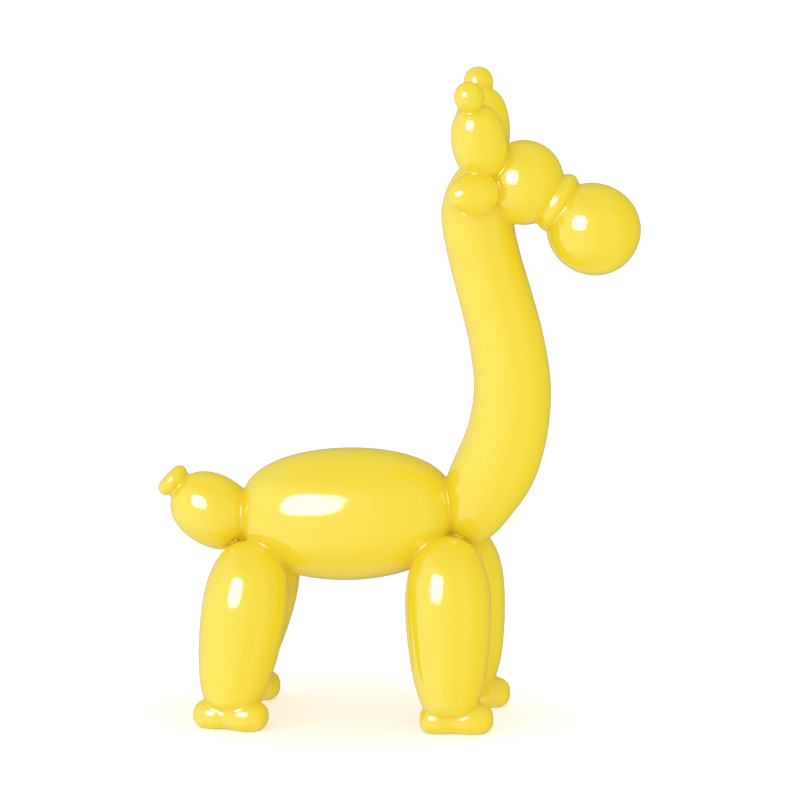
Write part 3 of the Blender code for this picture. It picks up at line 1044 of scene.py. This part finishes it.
def corners_cut(tree):
    """Give a brightness that is 1 on the softbox and falls to 0 at its cut corners."""
    place_on = add_node(tree, "ShaderNodeNewGeometry").outputs["Parametric"]
    across = add_node(tree, "ShaderNodeSeparateXYZ", links={0: place_on})
    from_middle = []
    for axis in (0, 1):
        moved = add_node(tree, "ShaderNodeMath", {"operation": "SUBTRACT", 1: 0.5},
                         {0: across.outputs[axis]})
        distance = add_node(tree, "ShaderNodeMath", {"operation": "ABSOLUTE"},
                            {0: moved.outputs[0]})
        from_middle.append(distance.outputs[0])
    to_corner = add_node(tree, "ShaderNodeMath", {"operation": "ADD"},
                         {0: from_middle[0], 1: from_middle[1]})
    cut = add_node(
        tree, "ShaderNodeMapRange",
        {"From Min": SOFTBOX_DARK_AT, "From Max": SOFTBOX_FULL_AT, "To Min": 0.0, "To Max": 1.0},
        {"Value": to_corner.outputs[0]},
    )
    return cut.outputs["Result"]


def softbox_lamp(look, target, forward):
    """Hang the softbox that only the lacquer shows, as its highlights."""
    lamp = bpy.data.lights.new("softbox", "AREA")
    lamp.shape = "RECTANGLE"
    lamp.size = look.softbox_width
    lamp.size_y = look.softbox_height
    # A lamp's power is pi times its area times its brightness
    lamp.energy = math.pi * look.softbox_width * look.softbox_height * look.softbox_shine
    lamp.use_nodes = True
    tree = lamp.node_tree
    tree.nodes.clear()
    glow = add_node(tree, "ShaderNodeEmission", {"Color": (1.0, 1.0, 1.0, 1.0)},
                    {"Strength": corners_cut(tree)})
    add_node(tree, "ShaderNodeOutputLight", links={"Surface": glow.outputs[0]})
    box = bpy.data.objects.new("softbox", lamp)
    bpy.context.scene.collection.objects.link(box)
    heading = math.atan2(-forward.y, -forward.x) - look.softbox_round
    box.location = target + Vector((
        math.cos(heading) * math.cos(look.softbox_up), math.sin(heading) * math.cos(look.softbox_up),
        math.sin(look.softbox_up),
    )) * look.softbox_distance
    aim(box, target)
    box.visible_camera = False
    box.visible_diffuse = False
    return box


class GIRAFFE_OT_stage(Operator):
    """Set the camera, the floor and the lights"""

    bl_idname = "giraffe.stage"
    bl_label = "Stage"

    def execute(self, context):
        look = context.scene.giraffe.stage
        scene = context.scene
        target = Vector(look.camera_target)
        yaw, pitch = look.camera_yaw, look.camera_pitch
        forward = Vector((-math.sin(yaw) * math.cos(pitch), math.cos(yaw) * math.cos(pitch),
                          -math.sin(pitch)))
        lens = bpy.data.cameras.new("photo_camera")
        camera = bpy.data.objects.new("photo_camera", lens)
        scene.collection.objects.link(camera)
        camera.location = target - forward * look.camera_distance
        aim(camera, target)
        lens.sensor_fit = "HORIZONTAL"
        lens.lens = lens.sensor_width * look.camera_distance / look.frame_width
        lens.clip_end = 50.0
        scene.camera = camera

        bpy.ops.object.select_all(action="DESELECT")
        bpy.ops.mesh.primitive_plane_add(size=look.floor_size, location=(0.0, 0.0, 0.0))
        floor = context.active_object
        floor.name = "studio_floor"
        floor.data.materials.append(studio_floor_paint(look))
        floor.visible_glossy = False

        softbox_lamp(look, target, forward)
        scene.world = white_room(look, forward)
        scene.view_settings.view_transform = "Standard"
        return {"FINISHED"}


class GIRAFFE_PT_panel(Panel):
    """Sidebar panel that lists the steps"""

    bl_idname = "GIRAFFE_PT_panel"
    bl_label = "Balloon giraffe"
    bl_space_type = "VIEW_3D"
    bl_region_type = "UI"
    bl_category = "Giraffe"

    def draw(self, context):
        column = self.layout.column()
        for step in STEPS:
            column.operator(step.bl_idname)


STEPS = (
    GIRAFFE_OT_stage,
    GIRAFFE_OT_trunk,
    GIRAFFE_OT_legs,
    GIRAFFE_OT_neck,
    GIRAFFE_OT_head,
    GIRAFFE_OT_casting,
)
GROUPS = (TrunkSizes, LegSizes, NeckSizes, HeadSizes, CastingLook, StageLook, FigureSettings)


def register():
    """Make the settings, the steps and the panel known."""
    for kind in GROUPS + STEPS + (GIRAFFE_PT_panel,):
        bpy.utils.register_class(kind)
    bpy.types.Scene.giraffe = PointerProperty(type=FigureSettings)


def unregister():
    """Take them away again."""
    del bpy.types.Scene.giraffe
    for kind in reversed(GROUPS + STEPS + (GIRAFFE_PT_panel,)):
        bpy.utils.unregister_class(kind)


def main():
    """Build the statue and its stage."""
    register()
    bpy.ops.giraffe.stage()
    bpy.ops.giraffe.trunk()
    bpy.ops.giraffe.legs()
    bpy.ops.giraffe.neck()
    bpy.ops.giraffe.head()
    bpy.ops.giraffe.casting()


if __name__ == "__main__":
    main()
